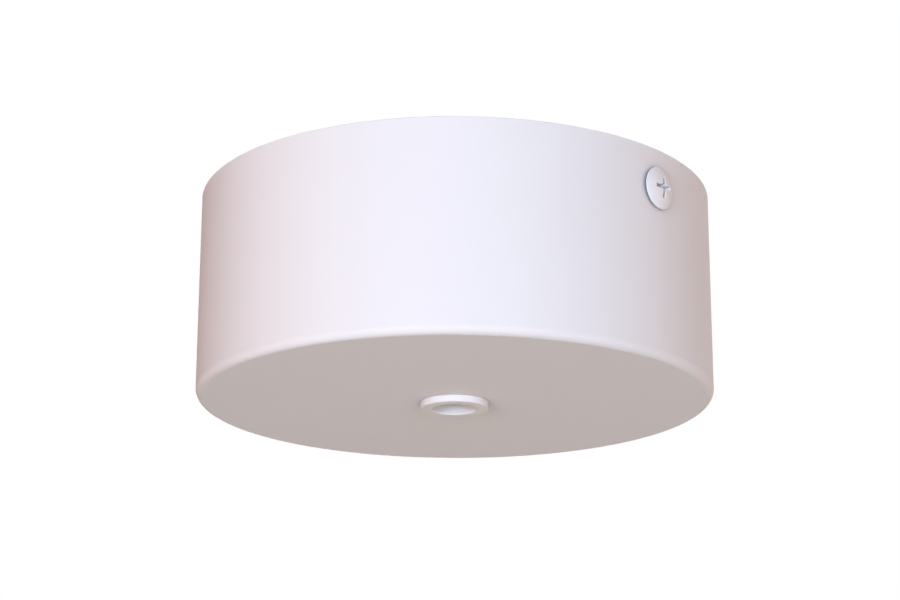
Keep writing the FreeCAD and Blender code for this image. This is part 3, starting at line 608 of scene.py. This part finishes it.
def rolledThread(screw, length, bevel, segments):
    # a helical ridge with a flat crest and a flat root, cut off square at both ends
    core, crest, pitch = screw["core"] * mm, screw["shank"] * mm, screw["pitch"] * mm
    low, high = -sink * mm, length * mm
    mesh = bmesh.new()
    ridge = [(0.0, core), (5 / 16, crest), (7 / 16, crest), (3 / 4, core)]  # share of the pitch, radius
    turns = math.ceil((high - low) / pitch) + 1
    columns = []
    for step in range(segments):
        turn = 2 * math.pi * step / segments
        column = []
        for row in range(-1, turns + 1):
            for share, radius in ridge:
                height = low + (row + share + step / segments) * pitch
                column.append(mesh.verts.new((radius * math.cos(turn), radius * math.sin(turn), height)))
        columns.append(column)
    rows = len(columns[0])
    for step in range(segments):
        here = columns[step]
        after = columns[(step + 1) % segments]
        shift = len(ridge) if step == segments - 1 else 0
        for row in range(rows - 1 - shift):
            mesh.faces.new((here[row], after[row + shift], after[row + 1 + shift], here[row + 1]))
    for height, side in ((low, 1), (high, -1)):
        bmesh.ops.bisect_plane(mesh, geom=mesh.verts[:] + mesh.edges[:] + mesh.faces[:],
                               plane_co=(0, 0, height), plane_no=(0, 0, side), clear_inner=True)
        bmesh.ops.remove_doubles(mesh, verts=mesh.verts[:], dist=tolerance)
        edges = [edge for edge in mesh.edges if edge.is_boundary
                 and all(abs(vert.co.z - height) < tolerance for vert in edge.verts)]
        bmesh.ops.contextual_create(mesh, geom=edges)
    for vert in mesh.verts:  # the thread runs out over the bevelled tip
        allowed = crest - max(0, vert.co.z - (high - bevel * mm))
        radius = math.hypot(vert.co.x, vert.co.y)
        if radius > allowed:
            vert.co.x *= allowed / radius
            vert.co.y *= allowed / radius
    bmesh.ops.recalc_face_normals(mesh, faces=mesh.faces)
    return mesh


def combine(target, tool, operation):
    modifier = target.modifiers.new("combine", "BOOLEAN")
    modifier.operation = operation
    modifier.solver = "EXACT"
    modifier.object = tool
    bpy.context.view_layer.update()
    graph = bpy.context.evaluated_depsgraph_get()
    data = bpy.data.meshes.new_from_object(target.evaluated_get(graph))
    target.modifiers.clear()
    target.data = data
    bpy.data.objects.remove(tool)


def copyTo(master, name, places):
    # one piece that holds a copy of the master at each place
    mesh = bmesh.new()
    for place in places:
        part = master.data.copy()
        part.transform(place)
        mesh.from_mesh(part)
        bpy.data.meshes.remove(part)
    piece = asObject(name, mesh)
    bpy.data.objects.remove(master)
    piece.data.polygons.foreach_set("use_smooth", [True] * len(piece.data.polygons))
    piece.data.set_sharp_from_angle(angle=math.radians(sharpAngle))
    return piece


def dress(piece, node, finish):
    piece.data.materials.clear()
    piece.data.materials.append(finish)
    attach(piece, "root")
    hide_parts(node)


# Side screws: M4, low domed heads with a cross recess, painted like the cover
sideScrew = {
    "head": 4.0, "headHeight": 1.6, "domeSteps": 12, "band": 0.25, "edgeRound": 0.15, "underRound": 0.06,
    "seat": 2.8, "seatRise": 0.3, **threadM4, "length": 8.0, "tipBevel": 0.4,
    "span": 4.1, "wing": 0.75, "depth": 1.7, "footSpan": 1.6, "footWing": 0.55,
    "innerCorner": 0.16,  # how far out along a wing its root starts
    "segments": 96, "threadSegments": 48,
}


def crossCutter(dome):
    # a four winged recess: its mouth follows the dome and flares, and its wings narrow towards the foot
    top = -sideScrew["headHeight"]
    wingReach, wingHalf = sideScrew["span"] / 2, sideScrew["wing"] / 2
    levels = [  # depth in mm, whether it follows the dome, wing reach and half width
        (-0.25, True, wingReach + 0.10, wingHalf + 0.10),
        (0.0, True, wingReach + 0.05, wingHalf + 0.05),
        (0.08, True, wingReach - 0.02, wingHalf - 0.01),
        (1.10, False, wingReach - 0.45, wingHalf - 0.06),
        (sideScrew["depth"], False, sideScrew["footSpan"] / 2, sideScrew["footWing"] / 2),
    ]
    mesh = bmesh.new()
    outlines = []
    for depth, followsDome, reach, half in levels:
        corner = half + sideScrew["innerCorner"] * (reach - half)
        middle = (reach + corner) / 2
        quarter = [(reach, -half), (reach, half), (middle, half), (corner, half), (half, corner),
                   (half, middle)]
        outline = []
        for turn in range(4):
            for x, y in quarter:
                for _ in range(turn):
                    x, y = -y, x
                drop = dome - math.sqrt(dome ** 2 - math.hypot(x, y) ** 2) if followsDome else 0
                outline.append(mesh.verts.new((x * mm, y * mm, (top + depth + drop) * mm)))
        outlines.append(outline)
    count = len(outlines[0])
    for outer, inner in zip(outlines, outlines[1:]):
        for index in range(count):
            after = (index + 1) % count
            mesh.faces.new((outer[index], outer[after], inner[after], inner[index]))
    mesh.faces.new(outlines[0])
    mesh.faces.new(outlines[-1])
    bmesh.ops.triangulate(mesh, faces=mesh.faces[:])
    bmesh.ops.recalc_face_normals(mesh, faces=mesh.faces)
    return mesh


def makeSideScrews():
    screw = sideScrew
    rise = screw["headHeight"] - screw["seatRise"] - screw["band"]
    dome = (screw["head"] ** 2 + rise ** 2) / (2 * rise)
    edge = math.asin(screw["head"] / dome)
    crown = []
    for step in range(screw["domeSteps"] + 1):
        turn = edge * step / screw["domeSteps"]
        crown.append((dome * math.sin(turn), -screw["headHeight"] + dome * (1 - math.cos(turn))))
    brim = crown.pop()
    shoulder = rounded([
        crown[-1],
        (brim[0], brim[1], screw["edgeRound"]),
        (screw["head"], -screw["seatRise"], screw["underRound"]),
        (screw["seat"], -screw["seatRise"]),
        (screw["seat"], 0),
    ])
    profile = [Vector(point) for point in crown[:-1]] + shoulder
    profile += [Vector((screw["core"] - tuck, 0)), Vector((0, 0))]
    master = asObject("sideScrewMaster", spin([point * mm for point in profile], screw["segments"]))
    shank = rolledThread(screw, screw["length"], screw["tipBevel"], screw["threadSegments"])
    combine(master, asObject("shank", shank), "UNION")
    combine(master, asObject("recess", crossCutter(dome)), "DIFFERENCE")
    low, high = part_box("side_screws")
    height = (low.z + high.z) / 2
    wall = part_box("cover")[1].x  # the heads seat on the cover's wall
    places = []
    for side in (1, -1):
        turn = Matrix.Rotation(-side * math.pi / 2, 4, "Y")
        places.append(Matrix.Translation((side * wall, 0, height)) @ turn)
    dress(copyTo(master, "sideScrewPair", places), "side_screws", screwCoatFinish)


# Slotted screws inside the rose, in rows and columns that fill the box of their node
slottedScrews = {
    "terminal_screws": {
        "piece": "clampScrews", "slotName": "zinc_screw", "finish": screwFinish, **threadM3,
        "head": 2.1, "headHeight": 1.5, "rows": 3, "columns": 2,
    },
    "housing_screws": {
        "piece": "housingScrews", "slotName": "zinc_screw", "finish": screwFinish, **threadM3,
        "head": 2.75, "headHeight": 1.8, "rows": 2, "columns": 1,
    },
    "cord_grip_screws": {
        "piece": "gripScrews", "slotName": "zinc_screw", "finish": screwFinish, **threadM3,
        "head": 2.75, "headHeight": 1.8, "rows": 2, "columns": 1,
    },
    "earth_screw": {
        "piece": "earthScrew", "slotName": "earth_brass", "finish": earthFinish, **threadM4,
        "head": 3.9, "headHeight": 2.4, "rows": 1, "columns": 1,
    },
}
slottedShape = {
    "slotWidth": 0.8, "slotDepth": 0.9, "slotFlare": 0.08,
    "edgeRound": 0.4, "underRound": 0.08, "tipBevel": 0.4,
    "turn": 0.7,  # radians from one slot to the next, as the driver left them
    "segments": 48, "threadSegments": 32,
}


def slotCutter(screw):
    # a straight slot whose mouth flares a little, as a sawn slot does after plating
    reach = 2 * screw["head"] * mm
    mouth = -screw["headHeight"] * mm
    foot = mouth + slottedShape["slotDepth"] * mm
    half = slottedShape["slotWidth"] * mm / 2
    flare = slottedShape["slotFlare"] * mm
    profile = [(-half - 2 * flare, mouth - flare), (half + 2 * flare, mouth - flare),
               (half, mouth + flare), (half, foot), (-half, foot), (-half, mouth + flare)]
    mesh = bmesh.new()
    ends = [[mesh.verts.new((x, y, z)) for y, z in profile] for x in (-reach, reach)]
    mesh.faces.new(ends[0])
    mesh.faces.new(ends[1][::-1])
    count = len(profile)
    for index in range(count):
        after = (index + 1) % count
        mesh.faces.new((ends[0][index], ends[0][after], ends[1][after], ends[1][index]))
    bmesh.ops.recalc_face_normals(mesh, faces=mesh.faces)
    return mesh


def makeSlottedScrews(node, screw):
    low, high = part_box(node)
    seat = low.z + screw["headHeight"] * mm
    length = (high.z - seat) / mm
    profile = rounded([
        (0, -screw["headHeight"]),
        (screw["head"], -screw["headHeight"], slottedShape["edgeRound"]),
        (screw["head"], 0, slottedShape["underRound"]),
        (screw["core"] - tuck, 0),
        (0, 0),
    ])
    master = asObject("screwMaster", spin([point * mm for point in profile], slottedShape["segments"]))
    shank = rolledThread(screw, length, slottedShape["tipBevel"], slottedShape["threadSegments"])
    combine(master, asObject("shank", shank), "UNION")
    combine(master, asObject("slot", slotCutter(screw)), "DIFFERENCE")
    inset = screw["head"] * mm
    alongRoom = high.x - low.x - 2 * inset
    acrossRoom = high.y - low.y - 2 * inset
    places = []
    for column in range(screw["columns"]):
        for row in range(screw["rows"]):
            along = low.x + inset + alongRoom * column / max(1, screw["columns"] - 1)
            across = low.y + inset + acrossRoom * row / max(1, screw["rows"] - 1)
            turn = Matrix.Rotation(slottedShape["turn"] * (2 * row + 3 * column), 4, "Z")
            places.append(Matrix.Translation((along, across, seat)) @ turn)
    dress(copyTo(master, screw["piece"], places), node, screw["finish"])


makeSideScrews()
print("side screws made")
for node, screw in slottedScrews.items():
    makeSlottedScrews(node, screw)
    print(screw["piece"], "made")
